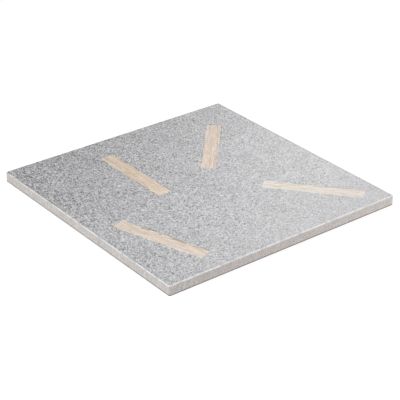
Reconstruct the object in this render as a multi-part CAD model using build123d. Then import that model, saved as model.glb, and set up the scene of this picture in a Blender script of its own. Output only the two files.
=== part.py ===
"""Square porcelain floor tile, dry-pressed and fired in one piece.

The tile lies face up. The origin is the middle of the bedding plane, the level that the rim and
the ribs on its back share. X and Y run along the edges, and +Z points up through the wear face.
All sizes are in millimetres and degrees.
"""

import os

from build123d import *

# The slab
TILE_SIDE = 248.0  # edge length: the work size of a nominal 250 mm tile
THICKNESS = 9.5  # from the bedding plane to the wear face
CORNER_RADIUS = 2.0  # plan radius of the four upright corners
ARRIS_RADIUS = 0.8  # round that the upper punch leaves along the top edges
BACK_BEVEL = 0.5  # bevel that the lower punch leaves along the bottom edges

# The key on the back: square cells between raised ribs, inside a plain rim
CELLS_ACROSS = 12  # an even count, so that two ribs cross at the origin
RIM_WIDTH = 8.0  # from the tile's edge to the mouth of the outermost cells
RIB_WIDTH = 3.0  # crest of a rib, between the mouths of two cells
CELL_DEPTH = 0.8  # height of a cell's floor above the bedding plane
CELL_CORNER_BEVEL = 2.0  # cut across each corner of a cell's mouth, measured along its sides
CELL_DRAFT = 30.0  # slope of a cell's walls from upright, so that the punch lifts out

PARTS_FOLDER = "parts"


def slab() -> Part:
    """The plain tile: a square plate with round corners, a rounded face edge and a bevelled back edge."""
    plan = RectangleRounded(TILE_SIDE, TILE_SIDE, CORNER_RADIUS)
    plate = extrude(plan, THICKNESS)
    plate = fillet(plate.faces().sort_by(Axis.Z).last.edges(), ARRIS_RADIUS)
    return chamfer(plate.faces().sort_by(Axis.Z).first.edges(), BACK_BEVEL)


def cell_size() -> float:
    """Width of a cell's mouth: what the rim and the ribs leave of the tile's side, shared out evenly."""
    ribs = (CELLS_ACROSS - 1) * RIB_WIDTH
    return (TILE_SIDE - 2 * RIM_WIDTH - ribs) / CELLS_ACROSS


def key_cells() -> list[Part]:
    """The hollows between the ribs, each a shallow square dish with drafted walls and cut corners."""
    square = Rectangle(cell_size(), cell_size())
    mouth = chamfer(square.vertices(), CELL_CORNER_BEVEL)
    cell = extrude(mouth, CELL_DEPTH, taper=CELL_DRAFT)
    pitch = cell_size() + RIB_WIDTH
    return [place * cell for place in GridLocations(pitch, pitch, CELLS_ACROSS, CELLS_ACROSS)]


def porcelain_tile() -> Part:
    """The whole tile: the slab with the key pressed into its back."""
    return slab() - key_cells()


os.makedirs(PARTS_FOLDER, exist_ok=True)
export_step(porcelain_tile(), f"{PARTS_FOLDER}/porcelain_tile.step")
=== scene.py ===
"""Looks of a square porcelain floor tile with a grey stone face and four printed wood strips.

The tile was pressed and fired in one piece, so it is one closed mesh: a wear face with a fine stone
relief, a rounded arris, ground edges, and the pressed key of ribs and cells on its back. The frame gives
its side and thickness. Its other sizes are written in millimetres, and its mesh is in metres.
"""

import logging
import math
from dataclasses import dataclass, field
from enum import Enum, IntEnum

import bpy
import numpy as np
from mathutils import Matrix, Vector

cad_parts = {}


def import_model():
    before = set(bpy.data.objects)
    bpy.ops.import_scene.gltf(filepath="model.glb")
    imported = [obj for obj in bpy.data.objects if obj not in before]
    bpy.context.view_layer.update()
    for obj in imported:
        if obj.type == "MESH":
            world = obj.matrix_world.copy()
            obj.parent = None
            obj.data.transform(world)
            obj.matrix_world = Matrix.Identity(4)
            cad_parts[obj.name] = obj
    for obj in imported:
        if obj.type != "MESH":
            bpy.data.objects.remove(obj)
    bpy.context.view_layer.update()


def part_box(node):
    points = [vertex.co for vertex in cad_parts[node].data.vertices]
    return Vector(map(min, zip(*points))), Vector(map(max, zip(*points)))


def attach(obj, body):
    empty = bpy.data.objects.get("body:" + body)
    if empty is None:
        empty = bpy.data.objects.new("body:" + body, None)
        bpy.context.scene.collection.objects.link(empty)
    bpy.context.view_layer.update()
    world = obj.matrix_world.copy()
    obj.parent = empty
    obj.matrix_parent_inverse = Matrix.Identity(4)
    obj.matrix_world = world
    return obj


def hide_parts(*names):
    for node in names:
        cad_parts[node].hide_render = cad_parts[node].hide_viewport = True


MM = 0.001
NODE = "porcelain_tile"
BODY = "root"
LOG = logging.getLogger("porcelain_floor_tile")

Colour = tuple[float, float, float]
Socket = bpy.types.NodeSocket
Wire = Socket | float | tuple[float, ...]

WHITE: Colour = (1.0, 1.0, 1.0)
NOISE_MIDDLE = 0.5  # that Blender's noise swings about


class Zone(IntEnum):
    """The parts of the tile's skin that have a finish of their own, in the order of its material slots."""

    FACE = 0
    EDGE = 1
    BACK = 2


class SocketKind(Enum):
    """The kinds of socket that a node group has."""

    VALUE = "NodeSocketFloat"
    VECTOR = "NodeSocketVector"
    COLOUR = "NodeSocketColor"


def rgba(colour: Colour) -> tuple[float, float, float, float]:
    """A colour with full alpha, as colour sockets want it."""
    return (*colour, 1.0)


class Board:
    """A node tree that is being wired, with short methods for its nodes and for what they do together."""

    MIX_INPUTS = (0, 6, 7)  # numbers of a Mix node's inputs for colours: its factor, A and B
    MIX_RESULT = 2  # number of its output for colours

    def __init__(self, tree: bpy.types.NodeTree) -> None:
        """Starts on a tree."""
        self.tree = tree

    def feed(self, socket: Socket, value: Wire) -> None:
        """Links a socket to another one, or sets its own value.

        Args:
            socket: the input that is fed.
            value: an output socket, a number, a vector or a colour.
        """
        if isinstance(value, bpy.types.NodeSocket):
            self.tree.links.new(value, socket)
        elif socket.type == "RGBA":
            socket.default_value = rgba(value[:3])
        else:
            socket.default_value = value

    def add(self, kind: str, feeds: dict[str, Wire] | None = None, **settings: object) -> bpy.types.Node:
        """Adds a node.

        Args:
            kind: the node's type, without the words that start every such name.
            feeds: what goes into its inputs, by their names.
            settings: its properties.

        Returns:
            The new node.
        """
        node = self.tree.nodes.new(f"ShaderNode{kind}")
        for name, value in settings.items():
            setattr(node, name, value)
        for name, value in (feeds or {}).items():
            self.feed(node.inputs[name], value)
        return node

    def math(self, operation: str, a: Wire, b: Wire = 0.0, c: Wire = 0.0) -> Socket:
        """One sum.

        Args:
            operation: Blender's name for it.
            a: its first number.
            b: its second number, where it has one.
            c: its third number, where it has one.

        Returns:
            The result.
        """
        node = self.add("Math", operation=operation)
        for socket, value in zip(node.inputs, (a, b, c), strict=True):
            self.feed(socket, value)
        return node.outputs[0]

    def times(self, first: Wire, *others: Wire) -> Socket:
        """The product of several numbers.

        Args:
            first: the first number.
            others: the rest.

        Returns:
            The product.
        """
        for other in others:
            first = self.math("MULTIPLY", first, other)
        return first

    def vector(self, operation: str, a: Wire, b: Wire) -> Socket:
        """One sum of two vectors.

        Args:
            operation: Blender's name for it.
            a: the first vector.
            b: the second vector.

        Returns:
            The resulting vector.
        """
        node = self.add("VectorMath", operation=operation)
        self.feed(node.inputs[0], a)
        self.feed(node.inputs[1], b)
        return node.outputs[0]

    def split(self, vector: Wire) -> tuple[Socket, Socket, Socket]:
        """The three parts of a vector."""
        return tuple(self.add("SeparateXYZ", {"Vector": vector}).outputs)

    def join(self, x: Wire, y: Wire, z: Wire) -> Socket:
        """A vector from its three parts."""
        return self.add("CombineXYZ", {"X": x, "Y": y, "Z": z}).outputs[0]

    def ease(self, value: Wire, low: Wire, high: Wire, start: Wire = 0.0, end: Wire = 1.0) -> Socket:
        """A smooth step.

        Args:
            value: what is measured.
            low: where the step starts. It may be above high, for a step down.
            high: where the step ends.
            start: the result below the step.
            end: the result above it.

        Returns:
            The stepped value.
        """
        node = self.add("MapRange", interpolation_type="SMOOTHSTEP")
        for socket, each in zip(node.inputs[:5], (value, low, high, start, end), strict=True):
            self.feed(socket, each)
        return node.outputs[0]

    def vary(self, tone: Wire, pattern: Wire, spread: float, low: float = 0.0, high: float = 1.0) -> Socket:
        """A tone that a pattern lowers and raises.

        Args:
            tone: the tone before.
            pattern: what varies it.
            spread: how far it goes to either side, as a share.
            low: the pattern's value where the tone is lowest.
            high: its value where the tone is highest.

        Returns:
            The varied tone.
        """
        return self.times(tone, self.ease(pattern, low, high, 1.0 - spread, 1.0 + spread))

    def blend(self, share: Wire, a: Wire, b: Wire, way: str = "MIX") -> Socket:
        """A mix of two colours.

        Args:
            share: how much of b is laid over a.
            a: the colour below.
            b: the colour above.
            way: Blender's name for how they mix.

        Returns:
            The mixed colour.
        """
        node = self.add("Mix", data_type="RGBA", blend_type=way)
        for number, value in zip(self.MIX_INPUTS, (share, a, b), strict=True):
            self.feed(node.inputs[number], value)
        return node.outputs[self.MIX_RESULT]

    def shade(self, colour: Wire, tone: Wire) -> Socket:
        """A colour times a tone."""
        return self.blend(1.0, colour, self.join(tone, tone, tone), "MULTIPLY")

    def noise(self, place: Wire, size: Wire, detail: float = 2.0, rough: float = 0.5) -> Socket:
        """Soft noise.

        Args:
            place: where it is read.
            size: about the size of its blotches, in the units of the place.
            detail: how many finer noises lie over it.
            rough: how strong they are.

        Returns:
            The noise, from 0 to 1.
        """
        scale = self.math("DIVIDE", 1.0, size)
        feeds = {"Vector": place, "Scale": scale, "Detail": detail, "Roughness": rough}
        return self.add("TexNoise", feeds).outputs[0]

    def stray(self, place: Wire, size: Wire, detail: float = 2.0, rough: float = 0.5) -> Socket:
        """The same noise about 0, from -0.5 to 0.5."""
        return self.math("SUBTRACT", self.noise(place, size, detail, rough), NOISE_MIDDLE)

    def cells(self, place: Wire, size: Wire) -> bpy.types.Node:
        """A pattern of irregular cells of about this size, in the units of the place."""
        return self.add("TexVoronoi", {"Vector": place, "Scale": self.math("DIVIDE", 1.0, size)})


class Effect:
    """A shader node group with named inputs and outputs, which is built once."""

    NAME = ""
    TAKES: dict[str, SocketKind] = {}
    GIVES: dict[str, SocketKind] = {}

    def __init__(self) -> None:
        """Builds the group once, with its named sockets."""
        self.tree = bpy.data.node_groups.new(self.NAME, "ShaderNodeTree")
        for label, kind in self.TAKES.items():
            self.tree.interface.new_socket(label, in_out="INPUT", socket_type=kind.value)
        for label, kind in self.GIVES.items():
            self.tree.interface.new_socket(label, in_out="OUTPUT", socket_type=kind.value)
        board = Board(self.tree)
        source = self.tree.nodes.new("NodeGroupInput")
        target = self.tree.nodes.new("NodeGroupOutput")
        takes = {label: source.outputs[label] for label in self.TAKES}
        for label, value in self.wire(board, takes).items():
            board.feed(target.inputs[label], value)

    def wire(self, board: Board, takes: dict[str, Socket]) -> dict[str, Socket]:
        """Wires the inside of the group.

        Args:
            board: the group's tree.
            takes: its inputs by name.

        Returns:
            What goes to its outputs, by name.
        """
        raise NotImplementedError

    def use(self, board: Board, **feeds: Wire) -> dict[str, Socket]:
        """Places the group in a tree.

        Args:
            board: the tree of the material or group that uses it.
            feeds: what goes into its inputs, with underscores for the spaces in their names.

        Returns:
            Its outputs by name.
        """
        node = board.tree.nodes.new("ShaderNodeGroup")
        node.node_tree = self.tree
        for label, value in feeds.items():
            board.feed(node.inputs[label.replace("_", " ")], value)
        return {label: node.outputs[label] for label in self.GIVES}


class Speckle(Effect):
    """Salt-and-pepper grains of crushed stone, with a few larger dark flecks among them."""

    NAME = "stone_speckle"
    TAKES = {"Place": SocketKind.VECTOR, "Grain": SocketKind.VALUE}
    GIVES = {"Coarse": SocketKind.VALUE, "Fine": SocketKind.VALUE, "Fleck": SocketKind.VALUE}

    WARP = 0.55  # how far the grains' outlines wander, in coarse grains
    WARP_SIZE = 1.25  # size of that wandering, in coarse grains
    FINE_SIZE = 0.42  # size of the fine grains, in coarse ones
    FLECK_SIZE = 1.9  # size of the flecks, in coarse grains
    FLECK_SHARE = 0.035  # of the stone that they cover
    FLECK_RANGE = (1.5, 0.5)  # in such shares, where flecks are faint and where they are full

    def wire(self, board: Board, takes: dict[str, Socket]) -> dict[str, Socket]:
        """Wires grains of two sizes and the flecks. Args and Returns are as in Effect."""
        place, grain = takes["Place"], takes["Grain"]
        scale = board.math("DIVIDE", 1 / self.WARP_SIZE, grain)
        wander = board.add("TexNoise", {"Vector": place, "Scale": scale, "Detail": 1.0}).outputs["Color"]
        wander = board.vector("SUBTRACT", wander, (NOISE_MIDDLE,) * 3)
        reach = board.times(grain, self.WARP * 2)
        wander = board.vector("MULTIPLY", wander, board.join(reach, reach, reach))
        warped = board.vector("ADD", place, wander)
        sizes = (grain, board.times(grain, self.FINE_SIZE), board.times(grain, self.FLECK_SIZE))
        chances = [board.cells(warped, size).outputs["Color"] for size in sizes]
        coarse, fine, large = (board.split(chance)[k] for k, chance in enumerate(chances))
        fleck = board.ease(large, *(1.0 - limit * self.FLECK_SHARE for limit in self.FLECK_RANGE))
        return {"Coarse": coarse, "Fine": fine, "Fleck": fleck}


class Cloud(Effect):
    """Slow drifts of tone."""

    NAME = "slow_cloud"
    TAKES = {"Place": SocketKind.VECTOR, "Size": SocketKind.VALUE}
    GIVES = {"Cloud": SocketKind.VALUE}

    RANGE = (0.28, 0.72)  # of the noise, drawn out to the range from 0 to 1

    def wire(self, board: Board, takes: dict[str, Socket]) -> dict[str, Socket]:
        """Wires one soft noise. Args and Returns are as in Effect."""
        drift = board.noise(takes["Place"], takes["Size"], detail=3.0, rough=0.55)
        return {"Cloud": board.ease(drift, *self.RANGE)}


class ArrisBand(Effect):
    """The rim of the face, where the glaze thins out over the pale body and ends on the round arris. Its
    pale band is partly that body and partly a painted highlight on the arris.
    """

    NAME = "arris_band"
    TAKES = {
        "Place": SocketKind.VECTOR,
        "Half Side": SocketKind.VALUE,
        "Thickness": SocketKind.VALUE,
        "Width": SocketKind.VALUE,
    }
    GIVES = {"Pale Highlight": SocketKind.VALUE, "Bare": SocketKind.VALUE, "Pool": SocketKind.VALUE}

    WOBBLE = 0.3  # how far the band's inner line wanders to either side, in widths
    WOBBLE_SIZE = 2.2  # size of that wandering
    HIGHLIGHT_SHIFT = 0.55  # how far the rim's lines lie off the middle towards -X, in widths, which widens the pale band at +X into a painted highlight on that arris
    PALE_HIGHLIGHT_BAND = (1.2, 0.85)  # from the edge, in widths, where the pale band of body and painted highlight begins and where it is full
    POOL = (3.0, 1.8)  # the same for the pooled glaze
    BARE = (0.7, 1.15)  # below the face, in widths, where the bare clay begins and where it is full
    WORN_SIZE = 4.5  # size of the band's thin stretches
    WORN_RANGE = (0.35, 0.55)  # of the noise that makes them
    WORN_LEAST = 0.6  # how much of the band is left there

    def wire(self, board: Board, takes: dict[str, Socket]) -> dict[str, Socket]:
        """Wires the pool of glaze, the pale band with its painted highlight, and the clay below. Args and
        Returns are as in Effect.
        """
        place, width = takes["Place"], takes["Width"]
        x, y, z = board.split(place)
        # shifted so that the pale band, a painted highlight, is wider on the +X arris
        shifted = board.math("MULTIPLY_ADD", width, self.HIGHLIGHT_SHIFT, x)
        far = board.math("MAXIMUM", board.math("ABSOLUTE", shifted), board.math("ABSOLUTE", y))
        inset = board.math("SUBTRACT", takes["Half Side"], far)
        wander = board.stray(place, self.WOBBLE_SIZE, detail=3.0, rough=0.6)
        line = board.math("MULTIPLY_ADD", wander, board.times(width, self.WOBBLE * 2), inset)
        drop = board.math("SUBTRACT", takes["Thickness"], z)
        # the pale band is partly pale body and partly a painted highlight on the arris
        pale_highlight, pool, bare = (
            board.ease(depth, *(board.times(width, limit) for limit in limits))
            for depth, limits in ((line, self.PALE_HIGHLIGHT_BAND), (line, self.POOL), (drop, self.BARE))
        )
        worn = board.noise(place, self.WORN_SIZE)
        pale_highlight = board.times(pale_highlight, board.ease(worn, *self.WORN_RANGE, self.WORN_LEAST, 1.0))
        return {"Pale Highlight": pale_highlight, "Bare": bare, "Pool": pool}


@dataclass(frozen=True)
class Streak:
    """One kind of wood grain: its width in millimetres, and its width as a share of its length."""

    width: float
    draw: float


@dataclass(frozen=True)
class StripPlace:
    """Where a point lies on a strip: along and across it from its middle, and past its end and outline."""

    along: Socket
    across: Socket
    past_end: Socket
    outside: Socket


class WoodPrint(Effect):
    """One printed strip of pale wood, with its grain along its length. Sizes are in millimetres."""

    NAME = "wood_strip_print"
    TAKES = {
        "Place": SocketKind.VECTOR,
        "Centre": SocketKind.VECTOR,
        "Turn": SocketKind.VALUE,
        "Length": SocketKind.VALUE,
        "Width": SocketKind.VALUE,
        "Seed": SocketKind.VALUE,
        "Dots": SocketKind.VALUE,
        "Vein": SocketKind.VALUE,
        "Ground": SocketKind.COLOUR,
        "Pale": SocketKind.COLOUR,
        "Ripe": SocketKind.COLOUR,
    }
    GIVES = {"Colour": SocketKind.COLOUR, "Strip": SocketKind.VALUE, "Fibre": SocketKind.VALUE}

    EDGE_BLUR = 0.2  # half the width of the printed edge
    EDGE_WAVES = ((14.0, 1.0, 0.8), (1.8, 2.0, 1.2))  # size, detail and reach of that edge's wandering
    LINE_EDGES = (1.3, 0.52)  # from the outline, where the thin dark dashes begin and where they are full
    LINE_FADE = 1.3  # over which they fade out at either end of the strip
    LINE_COLOUR = (0.08, 0.065, 0.05)
    LINE_DEPTH = 0.6  # how much of the ground they hide
    DASH_SIZE = 7.0  # length of a dash
    DASH_RANGE = (0.53, 0.6)  # of the noise that breaks the line into dashes
    SIDES_APART = 50.0  # from one side's dashes to the other's in that noise, so that they differ
    RIM_WIDTH = 1.3  # of the paler wood inside the outline
    RIM_GAIN = 0.07  # how much paler it is
    VEIN_PLACE = 0.41  # of the dark vein beside one edge, in strip widths from the middle
    VEIN_EDGES = (1.3, 0.39)  # from the vein's middle, where it begins and where it is full
    VEIN_COLOUR = (0.23, 0.13, 0.085)
    VEIN_SIZE = 11.0  # length of its stretches
    VEIN_RANGE = (0.45, 0.53)  # of the noise that breaks it into stretches
    VEIN_LAYER = 0.5  # of that noise, apart from the grain's
    VEIN_FADE = 20.0  # over which it fades out towards either end of the strip
    SWAY = 3.2  # how far the grain sways, from side to side
    SWAY_SIZE = 26.0  # length of a sway
    BANDS = Streak(width=1.6, draw=0.05)
    BAND_RANGE = (0.25, 0.75)  # of the noise that makes the bands
    FIBRES = Streak(width=1.2, draw=0.1)
    FIBRE_RANGE = (0.3, 0.7)  # of the noise that makes the fibres
    FIBRE_TONE = (0.85, 1.13)  # of the darkest and of the palest fibres
    PORES = Streak(width=0.8, draw=0.14)
    PORE_RANGE = (0.7, 0.8)  # of a cell's chance, where its pore is faint and where it is full
    PORE_EDGES = (0.42, 0.2)  # from a pore's middle, in widths, where it begins and where it is full
    PORE_DEPTH = 0.25  # how much a pore darkens the wood
    DOT_RANGE = (0.2, 0.8)  # of the dots of the print that vary the wood's tone
    DOT_SPREAD = 0.06  # how far they vary it, to either side
    WARMTH = (1.25, 1.6)  # how much more a dark streak takes from green and from blue than from red

    def wire(self, board: Board, takes: dict[str, Socket]) -> dict[str, Socket]:
        """Wires the strip's outline and its wood. Args and Returns are as in Effect."""
        spot = self.locate(board, takes)
        strip = board.ease(spot.outside, self.EDGE_BLUR, -self.EDGE_BLUR)
        bands, fibre, pores = self.grain(board, takes, spot)
        wood = board.blend(bands, takes["Pale"], takes["Ripe"])
        wood = board.blend(self.vein(board, takes, spot), wood, self.VEIN_COLOUR)
        rim = board.ease(spot.outside, -self.RIM_WIDTH, -self.EDGE_BLUR, 1.0, 1.0 + self.RIM_GAIN)
        pitted = board.ease(pores, 0.0, 1.0, 1.0, 1.0 - self.PORE_DEPTH)
        tone = board.times(board.ease(fibre, *self.FIBRE_RANGE, *self.FIBRE_TONE), rim, pitted)
        tone = board.vary(tone, takes["Dots"], self.DOT_SPREAD, *self.DOT_RANGE)
        warm = board.join(tone, *(board.math("POWER", tone, depth) for depth in self.WARMTH))
        wood = board.blend(1.0, wood, warm, "MULTIPLY")
        ground = self.outlined(board, takes, spot)
        return {"Colour": board.blend(strip, ground, wood), "Strip": strip, "Fibre": fibre}

    def locate(self, board: Board, takes: dict[str, Socket]) -> StripPlace:
        """Works out where a point lies on the strip, whose outline is slightly uneven.

        Args:
            board: the group's tree.
            takes: its inputs by name.

        Returns:
            The point's place, with distances that are below 0 inside the strip.
        """
        offset = board.vector("SUBTRACT", takes["Place"], takes["Centre"])
        back = board.times(takes["Turn"], -1.0)
        turned = board.add("VectorRotate", {"Vector": offset, "Angle": back}, rotation_type="Z_AXIS")
        along, across, _ = board.split(turned.outputs[0])
        past_end = board.math("MULTIPLY_ADD", takes["Length"], -0.5, board.math("ABSOLUTE", along))
        past_side = board.math("MULTIPLY_ADD", takes["Width"], -0.5, board.math("ABSOLUTE", across))
        outside = board.math("MAXIMUM", past_end, past_side)
        for size, detail, reach in self.EDGE_WAVES:
            outside = board.math("MULTIPLY_ADD", board.stray(takes["Place"], size, detail), reach, outside)
        return StripPlace(along, across, past_end, outside)

    def outlined(self, board: Board, takes: dict[str, Socket], spot: StripPlace) -> Socket:
        """The stone beside the strip, with a thin broken line along the outline.

        Args:
            board: the group's tree.
            takes: its inputs by name.
            spot: the point's place on the strip.

        Returns:
            The stone's colour.
        """
        near = board.ease(board.math("ABSOLUTE", spot.outside), *self.LINE_EDGES)
        fade = board.ease(spot.past_end, 0.0, -self.LINE_FADE)
        side = board.times(board.math("SIGN", spot.across), self.SIDES_APART)
        broken = board.noise(board.join(spot.along, takes["Seed"], side), self.DASH_SIZE)
        depth = board.times(near, fade, board.ease(broken, *self.DASH_RANGE), self.LINE_DEPTH)
        return board.blend(depth, takes["Ground"], self.LINE_COLOUR)

    def vein(self, board: Board, takes: dict[str, Socket], spot: StripPlace) -> Socket:
        """A broken dark vein beside one edge of the strip.

        Args:
            board: the group's tree.
            takes: its inputs by name.
            spot: the point's place on the strip.

        Returns:
            How much of the vein's colour lies over the wood.
        """
        stretch = board.noise(board.join(spot.along, takes["Seed"], self.VEIN_LAYER), self.VEIN_SIZE)
        wander = board.math("SUBTRACT", stretch, NOISE_MIDDLE)
        middle = board.math("MULTIPLY_ADD", takes["Width"], self.VEIN_PLACE, wander)
        offset = board.math("ABSOLUTE", board.math("SUBTRACT", spot.across, middle))
        line = board.ease(offset, *self.VEIN_EDGES, 0.0, takes["Vein"])
        fade = board.ease(spot.past_end, 0.0, -self.VEIN_FADE)
        return board.times(line, fade, board.ease(stretch, *self.VEIN_RANGE))

    def grain(
        self, board: Board, takes: dict[str, Socket], spot: StripPlace
    ) -> tuple[Socket, Socket, Socket]:
        """The wood's grain.

        Args:
            board: the group's tree.
            takes: its inputs by name.
            spot: the point's place on the strip.

        Returns:
            Broad bands of growth, fine fibres, and a mask of short dark pores.
        """
        sway = board.stray(board.join(spot.along, takes["Seed"], 0.0), self.SWAY_SIZE, detail=1.0)
        swayed = board.math("MULTIPLY_ADD", sway, self.SWAY, spot.across)
        bands, fibres, dashes = (
            board.join(board.times(spot.along, streak.draw), swayed, takes["Seed"])
            for streak in (self.BANDS, self.FIBRES, self.PORES)
        )
        growth = board.ease(board.noise(bands, self.BANDS.width, rough=0.6), *self.BAND_RANGE)
        fibre = board.noise(fibres, self.FIBRES.width, rough=0.6)
        cells = board.cells(dashes, self.PORES.width)
        rare = board.ease(board.split(cells.outputs["Color"])[0], *self.PORE_RANGE)
        pores = board.times(rare, board.ease(cells.outputs["Distance"], *self.PORE_EDGES))
        return growth, fibre, pores


@dataclass(frozen=True)
class WoodTone:
    """The two colours that a wood strip's grain runs between."""

    pale: Colour
    ripe: Colour


@dataclass(frozen=True)
class WoodStrip:
    """One printed strip: its middle on the face in millimetres, its turn in degrees, and its wood."""

    centre: tuple[float, float]
    turn: float
    tone: WoodTone
    seed: float
    vein: float = 0.2
    length: float = 90.6
    width: float = 13.75


TAN = WoodTone(pale=(0.765, 0.627, 0.497), ripe=(0.647, 0.494, 0.353))
HONEY = WoodTone(pale=(0.758, 0.615, 0.502), ripe=(0.616, 0.473, 0.362))
CREAM = WoodTone(pale=(0.73, 0.65, 0.577), ripe=(0.59, 0.505, 0.417))
SAND = WoodTone(pale=(0.763, 0.655, 0.552), ripe=(0.625, 0.507, 0.398))
STRIPS = (
    WoodStrip(centre=(-47.77, -33.62), turn=-0.24, tone=TAN, seed=3.0),
    WoodStrip(centre=(-51.4, 57.41), turn=-41.91, tone=HONEY, seed=17.0),
    WoodStrip(centre=(71.49, 75.56), turn=39.84, tone=CREAM, seed=31.0),
    WoodStrip(centre=(59.54, -84.31), turn=17.49, tone=SAND, seed=47.0, vein=0.8),
)


@dataclass
class Effects:
    """The node groups, each built once."""

    speckle: Speckle = field(default_factory=Speckle)
    cloud: Cloud = field(default_factory=Cloud)
    arris: ArrisBand = field(default_factory=ArrisBand)
    wood: WoodPrint = field(default_factory=WoodPrint)


class SkinBoard(Board):
    """The tree of a finish, with the shared node groups and the place on the tile in millimetres."""

    def __init__(self, tree: bpy.types.NodeTree, effects: Effects) -> None:
        """Starts with an empty tree.

        Args:
            tree: the material's tree.
            effects: the shared node groups.
        """
        super().__init__(tree)
        tree.nodes.clear()
        self.effects = effects
        self.place = self.vector("MULTIPLY", self.add("TexCoord").outputs["Object"], (1 / MM,) * 3)

    def speckle(self, grain: float) -> dict[str, Socket]:
        """Grains of stone of this size."""
        return self.effects.speckle.use(self, Place=self.place, Grain=grain)

    def cloud(self, size: float) -> Socket:
        """Slow drifts of this size, from 0 to 1."""
        return self.effects.cloud.use(self, Place=self.place, Size=size)["Cloud"]


class Finish:
    """A finish of the tile's skin: a material whose nodes a subclass wires. Its sizes are in millimetres."""

    NAME = ""
    DRIFTS = ()  # size and spread of its slow changes of tone
    TINTS = (WHITE, WHITE)  # what its colour drifts between
    TINT_SIZE = 1.0  # of those drifts
    RELIEF = 0.05  # depth of its fine relief

    def make(self, effects: Effects) -> bpy.types.Material:
        """Builds the material.

        Args:
            effects: the shared node groups.

        Returns:
            The new material.
        """
        material = bpy.data.materials.new(self.NAME)
        material.use_nodes = True
        board = SkinBoard(material.node_tree, effects)
        colour, rough, height = self.wire(board)
        normal = board.add("Bump", {"Height": height, "Distance": self.RELIEF * MM}).outputs[0]
        shader = board.add("BsdfPrincipled", {"Base Color": colour, "Roughness": rough, "Normal": normal})
        board.add("OutputMaterial", {"Surface": shader.outputs[0]})
        return material

    def wire(self, board: SkinBoard) -> tuple[Socket, Socket, Socket]:
        """Wires the finish.

        Args:
            board: the material's tree.

        Returns:
            Its colour, its roughness, and the height of its fine relief from 0 to 1.
        """
        raise NotImplementedError

    def drifted(self, board: SkinBoard, tone: Socket) -> Socket:
        """A tone with the finish's slow drifts in it.

        Args:
            board: the material's tree.
            tone: the tone before.

        Returns:
            The drifted tone.
        """
        for size, spread in self.DRIFTS:
            tone = board.vary(tone, board.cloud(size), spread)
        return tone

    def tinted(self, board: SkinBoard, colour: Socket) -> Socket:
        """A colour that drifts between the finish's two tints."""
        return board.blend(1.0, colour, board.blend(board.cloud(self.TINT_SIZE), *self.TINTS), "MULTIPLY")


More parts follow.
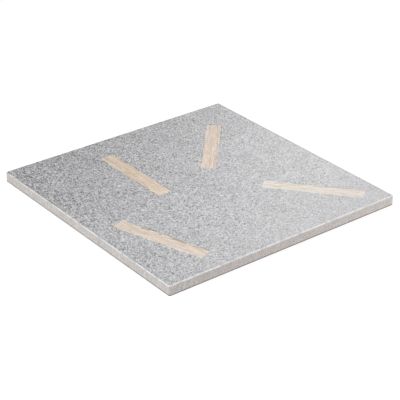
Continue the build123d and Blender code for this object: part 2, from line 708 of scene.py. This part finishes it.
@dataclass(frozen=True)
class PrintedGlaze(Finish):
    """The wear face: a matt glaze printed as fine grey stone with strips of wood in it."""

    NAME = "printed_matt_glaze"

    half_side: float
    thickness: float
    arris_width: float
    stone: Colour = (0.446, 0.441, 0.453)
    # pale engobe, brightened into a painted highlight on the arris
    engobe_and_highlight: Colour = (0.93, 0.92, 0.91)
    clay: Colour = (0.635, 0.594, 0.568)
    fleck: Colour = (0.06, 0.058, 0.056)
    grain: float = 0.7
    gloss: float = 0.4

    GRAIN_RANGE = (0.1, 0.9)  # of the coarse grains' chances, drawn out to their whole spread
    GRAIN_SPREAD = 0.49  # of the coarse grains' tone, to either side of the stone's colour
    FINE_SPREAD = 0.2  # of the fine grains' tone
    DARKEST = 0.12  # tone of the darkest grains
    FLECK_DEPTH = 0.8  # how much of the stone a fleck hides
    SHEEN_FADE = (0.3, 0.25)  # how much fainter the grain is made towards +X and towards +Y: a painted sheen, which washes it out there
    DRIFTS = ((34.0, 0.03), (9.0, 0.015))
    TINTS = ((0.986, 1.0, 1.014), (1.014, 1.0, 0.986))
    TINT_SIZE = 6.0
    POOL_DEPTH = (0.16, 0.36)  # how much the pooled glaze darkens the rim, at +X and -Y, and at -X and +Y
    POOL_TURN = 15.0  # from the corners between those edges, over which that changes
    GRAIN_HEIGHTS = (0.6, 0.4)  # shares of the coarse and of the fine grains in the relief
    FIBRE_HEIGHT = 0.6  # of the wood's fibres in it
    GLOSS_SWING = 0.06  # how far the roughness goes to either side, from low to high places

    def wire(self, board: SkinBoard) -> tuple[Socket, Socket, Socket]:
        """Wires stone, strips and the thin rim. Args and Returns are as in Finish."""
        speckle = board.speckle(self.grain)
        colour = self.stone_colour(board, speckle)
        fine = board.times(speckle["Fine"], self.GRAIN_HEIGHTS[1])
        height = board.math("MULTIPLY_ADD", speckle["Coarse"], self.GRAIN_HEIGHTS[0], fine)
        for strip in STRIPS:
            wood = self.strip(board, strip, colour, speckle["Coarse"])
            colour = wood["Colour"]
            fibre = board.times(wood["Fibre"], self.FIBRE_HEIGHT)
            height = board.add("Mix", {"Factor": wood["Strip"], "A": height, "B": fibre}).outputs[0]
        rough = board.ease(height, 0.0, 1.0, self.gloss + self.GLOSS_SWING, self.gloss - self.GLOSS_SWING)
        return self.rim_colour(board, colour), rough, height

    def stone_colour(self, board: SkinBoard, speckle: dict[str, Socket]) -> Socket:
        """The printed stone.

        Args:
            board: the material's tree.
            speckle: the grains.

        Returns:
            The stone's colour.
        """
        x, y, _ = board.split(board.place)
        # painted sheen: the grain and flecks grow fainter towards +X and +Y, where a sheen would veil them
        sheen_veil = board.times(x, self.SHEEN_FADE[0] / self.half_side)
        sheen_veil = board.math("MULTIPLY_ADD", y, self.SHEEN_FADE[1] / self.half_side, sheen_veil)
        strength = board.math("SUBTRACT", 1.0, sheen_veil)
        coarse = board.ease(speckle["Coarse"], *self.GRAIN_RANGE, -self.GRAIN_SPREAD, self.GRAIN_SPREAD)
        fine = board.ease(speckle["Fine"], 0.0, 1.0, -self.FINE_SPREAD, self.FINE_SPREAD)
        tone = board.math("MULTIPLY_ADD", board.math("ADD", coarse, fine), strength, 1.0)
        tone = self.drifted(board, board.math("MAXIMUM", tone, self.DARKEST))
        colour = self.tinted(board, board.shade(self.stone, tone))
        return board.blend(board.times(speckle["Fleck"], strength, self.FLECK_DEPTH), colour, self.fleck)

    def rim_colour(self, board: SkinBoard, colour: Socket) -> Socket:
        """The rim over the print: the pooled glaze, the pale band with its painted highlight, and the clay
        below.

        Args:
            board: the material's tree.
            colour: the print's colour.

        Returns:
            The colour with the rim.
        """
        sizes = {"Half_Side": self.half_side, "Thickness": self.thickness, "Width": self.arris_width}
        rim = board.effects.arris.use(board, Place=board.place, **sizes)
        x, y, _ = board.split(board.place)
        depth = board.ease(board.math("SUBTRACT", y, x), -self.POOL_TURN, self.POOL_TURN, *self.POOL_DEPTH)
        colour = board.blend(board.times(rim["Pool"], depth), colour, self.fleck)
        # the pale band lays the engobe over the rim as pale body with a painted highlight
        return board.blend(rim["Bare"], board.blend(rim["Pale Highlight"], colour, self.engobe_and_highlight), self.clay)

    def strip(self, board: SkinBoard, strip: WoodStrip, ground: Socket, dots: Socket) -> dict[str, Socket]:
        """One wood strip laid over the colour below it.

        Args:
            board: the material's tree.
            strip: the strip's place and wood.
            ground: the colour below.
            dots: the dots of the print, from 0 to 1.

        Returns:
            The outputs of the strip's node group.
        """
        return board.effects.wood.use(
            board,
            Place=board.place,
            Centre=(*strip.centre, 0.0),
            Turn=math.radians(strip.turn),
            Length=strip.length,
            Width=strip.width,
            Seed=strip.seed,
            Dots=dots,
            Vein=strip.vein,
            Ground=ground,
            Pale=strip.tone.pale,
            Ripe=strip.tone.ripe,
        )


@dataclass(frozen=True)
class GroundBody(Finish):
    """The edges: bare pale porcelain with the fine upright marks of the grinding wheel."""

    NAME = "ground_porcelain_body"

    clay: Colour = (0.635, 0.594, 0.568)
    # painted contact shade: a dark colour along the foot of the edges, where the floor's shadow would fall
    contact_shade: Colour = (0.16, 0.148, 0.14)
    grain: float = 0.7

    MARK_SIZE = 1.2  # width of the grinding marks
    MARK_DRAW = 0.1  # their width as a share of their height
    MARK_RANGE = (0.25, 0.75)  # of the noise that makes them
    MARK_SPREAD = 0.12  # of their tone, to either side
    GRAIN_SPREAD = 0.16  # of the grains' tone
    DRIFTS = ((9.0, 0.025),)
    TINTS = ((0.985, 1.004, 1.006), (1.022, 0.994, 0.99))
    TINT_SIZE = 7.0
    CONTACT_SHADE_HEIGHTS = (2.2, 0.9)  # above the back, where the painted contact shade along the foot begins and where it is full
    CONTACT_SHADE_WANDER = 0.6  # how far the marks shift those heights
    ROUGH_RANGE = (0.2, 0.8)  # of the marks that vary the roughness
    ROUGHNESS = (0.72, 0.84)
    HEIGHTS = (0.3, 0.7)  # shares of the grains and of the marks in the relief
    RELIEF = 0.04

    def wire(self, board: SkinBoard) -> tuple[Socket, Socket, Socket]:
        """Wires clay, grinding marks and a painted contact shade along the foot. Args and Returns are as in
        Finish.
        """
        x, y, z = board.split(board.place)
        run = board.join(board.math("ADD", x, y), 0.0, board.times(z, self.MARK_DRAW))
        marks = board.noise(run, self.MARK_SIZE, detail=3.0, rough=0.7)
        grains = board.speckle(self.grain)["Coarse"]
        tone = board.vary(1.0, marks, self.MARK_SPREAD, *self.MARK_RANGE)
        tone = self.drifted(board, board.vary(tone, grains, self.GRAIN_SPREAD))
        colour = self.tinted(board, board.shade(self.clay, tone))
        low = board.math("MULTIPLY_ADD", marks, self.CONTACT_SHADE_WANDER, z)
        # painted shade: the edges darken towards the foot as a painted contact shadow
        colour = board.blend(board.ease(low, *self.CONTACT_SHADE_HEIGHTS), colour, self.contact_shade)
        height = board.math("MULTIPLY_ADD", grains, self.HEIGHTS[0], board.times(marks, self.HEIGHTS[1]))
        return colour, board.ease(marks, *self.ROUGH_RANGE, *self.ROUGHNESS), height


@dataclass(frozen=True)
class KilnWashedBack(Finish):
    """The back: bare porcelain, with white kiln wash rolled over the ribs."""

    NAME = "kiln_washed_back"

    cell_depth: float
    clay: Colour = (0.53, 0.49, 0.45)
    wash: Colour = (0.74, 0.72, 0.69)
    grain: float = 0.9

    GRAIN_SPREAD = 0.07  # of the grains' tone, to either side
    DRIFTS = ((40.0, 0.06),)
    STREAK_SIZE = 4.5  # width of the roller's streaks in the wash
    STREAK_DRAW = 0.16  # their width as a share of their length
    STREAK_RANGE = (0.36, 0.56)  # of the noise that makes them
    COVER = (0.25, 0.95)  # how much of the clay the wash hides, where it is thin and where it is thick
    CREST = (0.5, 0.1)  # above the bedding plane, in cell depths, where the wash begins and where it is full
    ROUGHNESS = (0.78, 0.92)

    def wire(self, board: SkinBoard) -> tuple[Socket, Socket, Socket]:
        """Wires clay and wash. Args and Returns are as in Finish."""
        speckle = board.speckle(self.grain)
        tone = board.vary(1.0, speckle["Coarse"], self.GRAIN_SPREAD)
        clay = board.shade(self.clay, self.drifted(board, tone))
        run = board.vector("MULTIPLY", board.place, (1.0, self.STREAK_DRAW, 1.0))
        streak = board.noise(run, self.STREAK_SIZE, detail=4.0, rough=0.65)
        crest = board.ease(board.split(board.place)[2], *(self.cell_depth * share for share in self.CREST))
        cover = board.times(crest, board.ease(streak, *self.STREAK_RANGE, *self.COVER))
        rough = board.ease(speckle["Fine"], 0.0, 1.0, *self.ROUGHNESS)
        return board.blend(cover, clay, self.wash), rough, speckle["Coarse"]


class Patchwork:
    """A mesh in the making: patches of points and faces, welded where their points coincide."""

    WELD = 1e-7

    def __init__(self) -> None:
        """Starts with no patches."""
        self.points: list[np.ndarray] = []
        self.faces: list[tuple[tuple[int, ...], Zone, np.ndarray, bool]] = []
        self.count = 0

    def add(self, points: np.ndarray) -> np.ndarray:
        """Adds points.

        Args:
            points: any array whose last axis holds the coordinates.

        Returns:
            The points' numbers, in the array's shape.
        """
        flat = points.reshape(-1, 3)
        self.points.append(flat)
        numbers = np.arange(self.count, self.count + len(flat)).reshape(points.shape[:-1])
        self.count += len(flat)
        return numbers

    def face(self, corners: np.ndarray, zone: Zone, spots: np.ndarray, smooth: bool = True) -> None:
        """Adds one face.

        Args:
            corners: the numbers of its points, counter-clockwise from outside.
            zone: its finish.
            spots: its corners' places on the bake map.
            smooth: whether its shading runs on into its neighbours.
        """
        self.faces.append((tuple(int(c) for c in corners), zone, spots, smooth))

    def quads(self, numbers: np.ndarray, zone: Zone, spots: np.ndarray) -> None:
        """Adds the quads of a net of points.

        Args:
            numbers: the points' numbers. Seen from outside, their columns run to the right of their rows.
            zone: their finish.
            spots: the points' places on the bake map, in the same rows and columns.
        """
        for r in range(numbers.shape[0] - 1):
            for c in range(numbers.shape[1] - 1):
                ring = ((r, c), (r + 1, c), (r + 1, c + 1), (r, c + 1))
                self.face([numbers[k] for k in ring], zone, np.array([spots[k] for k in ring]))

    def mesh(self, name: str, map_name: str) -> bpy.types.Mesh:
        """Welds the patches into one mesh.

        Args:
            name: the mesh's name.
            map_name: the name of its bake map.

        Returns:
            The mesh, with its shading, finishes and bake map.
        """
        points = np.concatenate(self.points)
        keys = np.round(points / self.WELD).astype(np.int64)
        _, first, inverse = np.unique(keys, axis=0, return_index=True, return_inverse=True)
        inverse = inverse.ravel()
        corners, zones, spots, smooth = zip(*self.faces)
        faces = [tuple(int(inverse[c]) for c in ring) for ring in corners]
        mesh = bpy.data.meshes.new(name)
        mesh.from_pydata(points[first].tolist(), [], faces)
        mesh.polygons.foreach_set("material_index", [int(zone) for zone in zones])
        mesh.polygons.foreach_set("use_smooth", smooth)
        places = np.concatenate(spots).astype(np.float32)
        mesh.uv_layers.new(name=map_name).data.foreach_set("uv", places.ravel())
        mesh.update()
        return mesh


def smooth_noise(places: np.ndarray, size: float, seed: int) -> np.ndarray:
    """Smooth noise from 0 to 1 on a plane.

    Args:
        places: points in the plane, with two coordinates on the last axis.
        size: the distance between the noise's knots.
        seed: which noise.

    Returns:
        The noise at each point.
    """
    low = np.floor(places.reshape(-1, 2).min(0) / size).astype(int)
    high = np.ceil(places.reshape(-1, 2).max(0) / size).astype(int) + 2
    knots = np.random.default_rng(seed).random(tuple(high - low))
    spot = places / size - low
    whole = np.floor(spot).astype(int)
    part = spot - whole
    part = part * part * (3 - 2 * part)
    i, j = whole[..., 0], whole[..., 1]
    u, v = part[..., 0], part[..., 1]
    near = knots[i, j] * (1 - u) + knots[i + 1, j] * u
    far = knots[i, j + 1] * (1 - u) + knots[i + 1, j + 1] * u
    return near * (1 - v) + far * v


@dataclass
class PorcelainTile:
    """The tile's skin. Its side and thickness come from the frame. The cells' draft is in degrees."""

    side: float
    thickness: float
    corner_radius: float = 2.0 * MM
    arris_radius: float = 0.8 * MM
    back_bevel: float = 0.5 * MM
    cells_across: int = 12
    rim_width: float = 8.0 * MM
    rib_width: float = 3.0 * MM
    cell_depth: float = 0.8 * MM
    cell_corner: float = 2.0 * MM
    cell_draft: float = 30.0
    face_relief: float = 0.07 * MM
    fade_width: float = 3.0 * MM
    face_step: float = 1.16 * MM
    corner_steps: int = 3
    arris_steps: int = 5
    edge_steps: int = 4
    cell_steps: int = 4

    MAP = "OFBake"  # the bake map's name
    FACE_SHARE = 0.71  # of the bake map's side that the wear face takes
    BACK_SHARE = 0.27  # of it that the back takes
    MAP_GAP = 0.006  # between the map's islands
    BEVEL_RINGS = (0.12, 0.88, 1.0)  # shares of the back's bevel at which its rings lie
    # Size in millimetres, share and seed of each wave in the face's relief.
    WAVES = ((12.0, 0.4, 1), (4.6, 0.35, 2), (2.3, 0.25, 3))
    # A cell wall's section with its soft head and foot: how far in, in wall widths, and up, in cell depths.
    WALL = ((-0.45, 0.0), (0.1, 0.08), (0.5, 0.5), (0.9, 0.92), (1.45, 1.0))

    def build(self, effects: Effects) -> bpy.types.Object:
        """Builds and dresses the tile.

        Args:
            effects: the shared node groups.

        Returns:
            The tile's object.
        """
        work = Patchwork()
        self.lay_face(work)
        self.lay_edges(work)
        self.lay_back(work)
        tile = bpy.data.objects.new("fired_tile", work.mesh("fired_tile", self.MAP))
        bpy.context.scene.collection.objects.link(tile)
        for finish in self.finishes():
            tile.data.materials.append(finish.make(effects))
        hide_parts(NODE)
        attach(tile, BODY)
        return tile

    def finishes(self) -> tuple[Finish, ...]:
        """The finishes in the order of the zones."""
        face = PrintedGlaze(self.side / 2 / MM, self.thickness / MM, arris_width=self.arris_radius / MM)
        return face, GroundBody(), KilnWashedBack(cell_depth=self.cell_depth / MM)

    @property
    def knee(self) -> float:
        """Where the round corners start, from the middle of a side."""
        return self.side / 2 - self.corner_radius

    def cross_lines(self, inner: np.ndarray, reach: float) -> np.ndarray:
        """Lines across a square, with closer ones over its round corners.

        Args:
            inner: the even lines, from the corners' centres on one side to those on the other.
            reach: how far the outline lies beyond those centres.

        Returns:
            All the lines in order.
        """
        more = inner[-1] + reach * np.arange(1, self.corner_steps + 1) / self.corner_steps
        return np.concatenate([-more[::-1], inner, more])

    @staticmethod
    def grid(lines: np.ndarray) -> np.ndarray:
        """The points where lines cross, with two coordinates for each row and column."""
        return np.stack(np.meshgrid(lines, lines, indexing="ij"), -1)

    @staticmethod
    def rounded(plan: np.ndarray, knee: float, reach: float) -> np.ndarray:
        """Rounds the corners of a square net.

        Args:
            plan: points with two coordinates on the last axis.
            knee: where the corners' centres lie, from the middle.
            reach: how far the outline lies beyond them.

        Returns:
            The points, with those past two centres drawn in onto arcs.
        """
        past = np.clip((np.abs(plan) - knee) / reach, 0.0, None)
        drawn = past * np.sqrt(1 - past[..., ::-1] ** 2 / 2)
        corner = (past > 0).all(-1, keepdims=True)
        return np.where(corner, np.sign(plan) * (knee + reach * drawn), plan)

    def face_lines(self) -> np.ndarray:
        """The even lines across the face between the corners' centres."""
        return np.linspace(-self.knee, self.knee, round(2 * self.knee / self.face_step) + 1)

    def net(self, inner: np.ndarray, reach: float) -> np.ndarray:
        """A square net of points with round corners.

        Args:
            inner: its even lines, from the corners' centres on one side to those on the other.
            reach: how far it goes beyond those centres.

        Returns:
            Two coordinates for each row and column.
        """
        return self.rounded(self.grid(self.cross_lines(inner, reach)), inner[-1], reach)

    @staticmethod
    def rim(net: np.ndarray) -> np.ndarray:
        """The points round a net's outline, counter-clockwise from its first corner, which comes twice."""
        return np.concatenate([net[:, 0], net[-1, 1:], net[-2::-1, -1], net[0, -2::-1]])

    def lay_face(self, work: Patchwork) -> None:
        """Lays the wear face, with a relief that fades out towards the rim.

        Args:
            work: the mesh in the making.
        """
        reach = self.corner_radius - self.arris_radius
        plan = self.net(self.face_lines(), reach)
        lines = np.abs(self.cross_lines(self.face_lines(), reach))
        inset = self.knee + reach - np.maximum.outer(lines, lines)
        fade = np.clip(inset / self.fade_width, 0, 1)
        relief = sum(share * smooth_noise(plan, size * MM, seed) for size, share, seed in self.WAVES)
        height = self.thickness - self.face_relief * fade * relief
        points = np.concatenate([plan, height[..., None]], -1)
        spots = (plan / self.side + 0.5) * self.FACE_SHARE
        work.quads(work.add(points), Zone.FACE, spots)

    def profile(self) -> list[tuple[float, float, Zone]]:
        """The tile's section from the face down to the back.

        Returns:
            The reach, the height and the finish of each ring.
        """
        flat = self.corner_radius - self.arris_radius
        rings = []
        for turn in np.linspace(0, math.pi / 2, self.arris_steps + 1):
            drop = self.arris_radius * (1 - math.cos(turn))
            rings.append((flat + self.arris_radius * math.sin(turn), self.thickness - drop, Zone.FACE))
        top = self.thickness - self.arris_radius
        for height in np.linspace(top, self.back_bevel, self.edge_steps + 1)[1:]:
            rings.append((self.corner_radius, float(height), Zone.EDGE))
        for share in self.BEVEL_RINGS:
            cut = self.back_bevel * share
            rings.append((self.corner_radius - cut, self.back_bevel - cut, Zone.EDGE))
        return rings

    def lay_edges(self, work: Patchwork) -> None:
        """Lays the arris, the upright edges and the bevel round the back.

        Args:
            work: the mesh in the making.
        """
        rings = self.profile()
        loops = [self.rim(self.net(self.face_lines(), reach)) for reach, _, _ in rings]
        points = [np.c_[loop, np.full(len(loop), height)] for loop, (_, height, _) in zip(loops, rings)]
        numbers = [work.add(p) for p in points]
        fall = np.cumsum([0.0] + [float(np.linalg.norm(b[0] - a[0])) for a, b in zip(points, points[1:])])
        scale = self.FACE_SHARE / self.side
        quarter = (len(loops[0]) - 1) // 4
        for k in range(len(rings) - 1):
            for n in range(len(loops[0]) - 1):
                side, step = divmod(n, quarter)
                base = self.FACE_SHARE + self.MAP_GAP + side * (fall[-1] * scale + self.MAP_GAP)
                left, right = step / quarter * self.FACE_SHARE, (step + 1) / quarter * self.FACE_SHARE
                upper, lower = base + fall[k] * scale, base + fall[k + 1] * scale
                corners = (numbers[k][n], numbers[k + 1][n], numbers[k + 1][n + 1], numbers[k][n + 1])
                spots = np.array([(left, upper), (left, lower), (right, lower), (right, upper)])
                work.face(corners, rings[k + 1][2], spots)

    def back_spot(self, plan: np.ndarray) -> np.ndarray:
        """The bake map's places of points on the back."""
        return (plan * (-1, 1) / self.side + 0.5) * self.BACK_SHARE + (1 - self.BACK_SHARE, 0)

    def lay_back(self, work: Patchwork) -> None:
        """Lays the rim of the back and the key inside it.

        Args:
            work: the mesh in the making.
        """
        pitch = (self.side - 2 * self.rim_width + self.rib_width) / self.cells_across
        middles = (np.arange(self.cells_across) - (self.cells_across - 1) / 2) * pitch
        loops = self.cell_loops(pitch)
        for x in middles:
            for y in middles:
                self.lay_cell(work, loops + np.array((x, y, 0.0)))
        outer = self.rim(self.net(self.face_lines(), self.corner_radius - self.back_bevel))
        ticks = np.concatenate([m + loops[0, : self.cell_points, 0] for m in middles])
        ticks = np.append(ticks, middles[-1] + pitch / 2)
        self.zip_rim(work, outer, self.rim(self.grid(ticks)))

    @property
    def cell_points(self) -> int:
        """Points along one side of a cell's loops."""
        return 2 * self.corner_steps + self.cell_steps

    def cell_loops(self, pitch: float) -> np.ndarray:
        """The loops of one cell, from the middle of the ribs round it to its floor.

        Args:
            pitch: from one cell's middle to the next.

        Returns:
            Three coordinates for each point of each loop, with the first point again at the end.
        """
        half = (pitch - self.rib_width) / 2
        wall = self.cell_depth * math.tan(math.radians(self.cell_draft))
        ribs = self.rim(self.grid(self.cross_lines(self.cell_lines(pitch / 2), self.cell_corner)))
        loops = [np.c_[ribs, np.zeros(len(ribs))]]
        for inset, share in self.WALL:
            plan = self.rim(self.net(self.cell_lines(half - inset * wall), self.cell_corner))
            loops.append(np.c_[plan, np.full(len(plan), self.cell_depth * share)])
        return np.array(loops)

    def cell_lines(self, half: float) -> np.ndarray:
        """The even lines across a cell's loop of this half width, between its corners' centres."""
        knee = half - self.cell_corner
        return np.linspace(-knee, knee, self.cell_steps + 1)

    def lay_cell(self, work: Patchwork, loops: np.ndarray) -> None:
        """Lays one cell's ribs, walls and floor.

        Args:
            work: the mesh in the making.
            loops: the cell's loops in place.
        """
        numbers = work.add(loops)
        spots = self.back_spot(loops[..., :2])
        work.quads(numbers, Zone.BACK, spots)
        work.face(numbers[-1, :0:-1], Zone.BACK, spots[-1, :0:-1], smooth=False)

    def zip_rim(self, work: Patchwork, outer: np.ndarray, inner: np.ndarray) -> None:
        """Joins two loops with different numbers of points by a flat band of triangles.

        Args:
            work: the mesh in the making.
            outer: the outline of the back.
            inner: the outline of the key.
        """
        bearing = [np.unwrap(np.arctan2(loop[:, 1], loop[:, 0])) for loop in (outer, inner)]
        flat = [np.c_[loop, np.zeros(len(loop))] for loop in (outer, inner)]
        numbers = [work.add(points) for points in flat]
        spots = [self.back_spot(loop) for loop in (outer, inner)]
        i = j = 0
        while i < len(outer) - 1 or j < len(inner) - 1:
            last = j == len(inner) - 1
            on_outer = last or (i < len(outer) - 1 and bearing[0][i + 1] <= bearing[1][j + 1])
            if on_outer:
                corners = ((0, i), (1, j), (0, i + 1))
                i += 1
            else:
                corners = ((0, i), (1, j), (1, j + 1))
                j += 1
            places = np.array([spots[a][b] for a, b in corners])
            work.face([numbers[a][b] for a, b in corners], Zone.BACK, places, smooth=False)


@dataclass(frozen=True)
class Softbox:
    """A rectangular studio lamp that faces the tile. Its place is in metres from the middle of the back."""

    name: str
    place: tuple[float, float, float]
    size: tuple[float, float]
    watts: float
    tint: Colour = WHITE

    def hang(self) -> None:
        """Adds the lamp to the scene."""
        lamp = bpy.data.lights.new(self.name, "AREA")
        lamp.shape = "RECTANGLE"
        lamp.size, lamp.size_y = self.size
        lamp.energy = self.watts
        lamp.color = self.tint
        stand = bpy.data.objects.new(self.name, lamp)
        stand.location = self.place
        stand.rotation_euler = Vector(self.place).to_track_quat("Z", "Y").to_euler()
        bpy.context.scene.collection.objects.link(stand)


@dataclass(frozen=True)
class Studio:
    """The pale floor, the light and the camera, in metres and degrees. The sensor is in millimetres."""

    floor_size: float = 12.0
    floor_drop: float = 0.05 * MM
    floor_grey: float = 0.25
    floor_glow: float = 0.85
    sky: float = 0.1
    lamps: tuple[Softbox, ...] = (
        Softbox("back_softbox", (-0.753, 0.753, 0.746), (0.6, 0.6), 3.65),
        Softbox("back_panel", (-0.562, 0.803, 0.499), (0.45, 0.45), 2.7),
        Softbox("overhead_panel", (0.115, -0.19, 0.49), (0.3, 0.3), 1.14),
        Softbox("front_panel", (0.0, -0.55, 0.35), (0.5, 0.3), 1.2, tint=(0.96, 1.0, 1.0)),
        Softbox("end_panel", (0.42, 0.34, 0.1), (0.2, 0.15), 0.49, tint=(1.0, 0.945, 0.96)),
        Softbox("rim_panel", (0.47, 0.54, 0.69), (0.3, 0.3), 0.72, tint=(0.97, 0.98, 1.04)),
    )
    camera_place: tuple[float, float, float] = (0.86471, -0.67504, 0.58769)
    azimuth: float = 51.8735
    elevation: float = 28.4758
    roll: float = 0.23
    focal_pixels: float = 1383.4
    picture_pixels: float = 400.0
    sensor: float = 36.0

    def build(self) -> None:
        """Sets up the floor, the lamps, the sky and the camera."""
        self.lay_floor()
        self.light_sky()
        for lamp in self.lamps:
            lamp.hang()
        self.stand_camera()
        bpy.context.scene.view_settings.view_transform = "Standard"

    def lay_floor(self) -> None:
        """Lays a plain pale floor, which glows a little, as a light table does, and is clear from below."""
        half = self.floor_size / 2
        mesh = bpy.data.meshes.new("floor")
        spots = [(-half, -half, 0), (half, -half, 0), (half, half, 0), (-half, half, 0)]
        mesh.from_pydata(spots, [], [tuple(range(len(spots)))])
        floor = bpy.data.objects.new("floor", mesh)
        floor.location.z = -self.floor_drop
        material = bpy.data.materials.new("pale_floor")
        material.use_nodes = True
        board = Board(material.node_tree)
        shader = material.node_tree.nodes["Principled BSDF"]
        below = board.add("NewGeometry").outputs["Backfacing"]
        board.feed(shader.inputs["Alpha"], board.math("SUBTRACT", 1.0, below))
        shader.inputs["Base Color"].default_value = rgba((self.floor_grey,) * 3)
        shader.inputs["Roughness"].default_value = 1.0
        shader.inputs["Specular IOR Level"].default_value = 0.0
        shader.inputs["Emission Color"].default_value = rgba(WHITE)
        shader.inputs["Emission Strength"].default_value = self.floor_glow
        mesh.materials.append(material)
        bpy.context.scene.collection.objects.link(floor)

    def light_sky(self) -> None:
        """Lights the scene evenly from all round."""
        world = bpy.data.worlds.new("studio_sky")
        world.use_nodes = True
        sky = world.node_tree.nodes["Background"]
        sky.inputs["Color"].default_value = rgba(WHITE)
        sky.inputs["Strength"].default_value = self.sky
        bpy.context.scene.world = world

    def stand_camera(self) -> None:
        """Stands the camera where the photograph was taken from."""
        turn, tilt, roll = (math.radians(a) for a in (self.azimuth, self.elevation, self.roll))
        back = Vector((math.sin(turn) * math.cos(tilt), -math.cos(turn) * math.cos(tilt), math.sin(tilt)))
        right = Vector((math.cos(turn), math.sin(turn), 0.0))
        up = back.cross(right)
        tipped = right * math.cos(roll) + up * math.sin(roll)
        raised = up * math.cos(roll) - right * math.sin(roll)
        data = bpy.data.cameras.new("camera")
        data.sensor_width = self.sensor
        data.lens = self.focal_pixels / self.picture_pixels * self.sensor
        camera = bpy.data.objects.new("camera", data)
        axes = Matrix((tipped, raised, back)).transposed().to_4x4()
        camera.matrix_world = Matrix.Translation(self.camera_place) @ axes
        bpy.context.scene.collection.objects.link(camera)
        bpy.context.scene.camera = camera


def corners(box: tuple[Vector, Vector]) -> list[list[float]]:
    """A box's lowest and highest corner as plain lists."""
    return [list(corner) for corner in box]


def main() -> None:
    """Builds the tile round the frame, then the studio."""
    logging.basicConfig(level=logging.INFO, format="%(name)s: %(message)s")
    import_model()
    low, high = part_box(NODE)
    tile = PorcelainTile(side=high.x - low.x, thickness=high.z - low.z)
    piece = tile.build(Effects())
    LOG.info("%s: %d points, %d faces", piece.name, len(piece.data.vertices), len(piece.data.polygons))
    Studio().build()


if __name__ == "__main__":
    main()
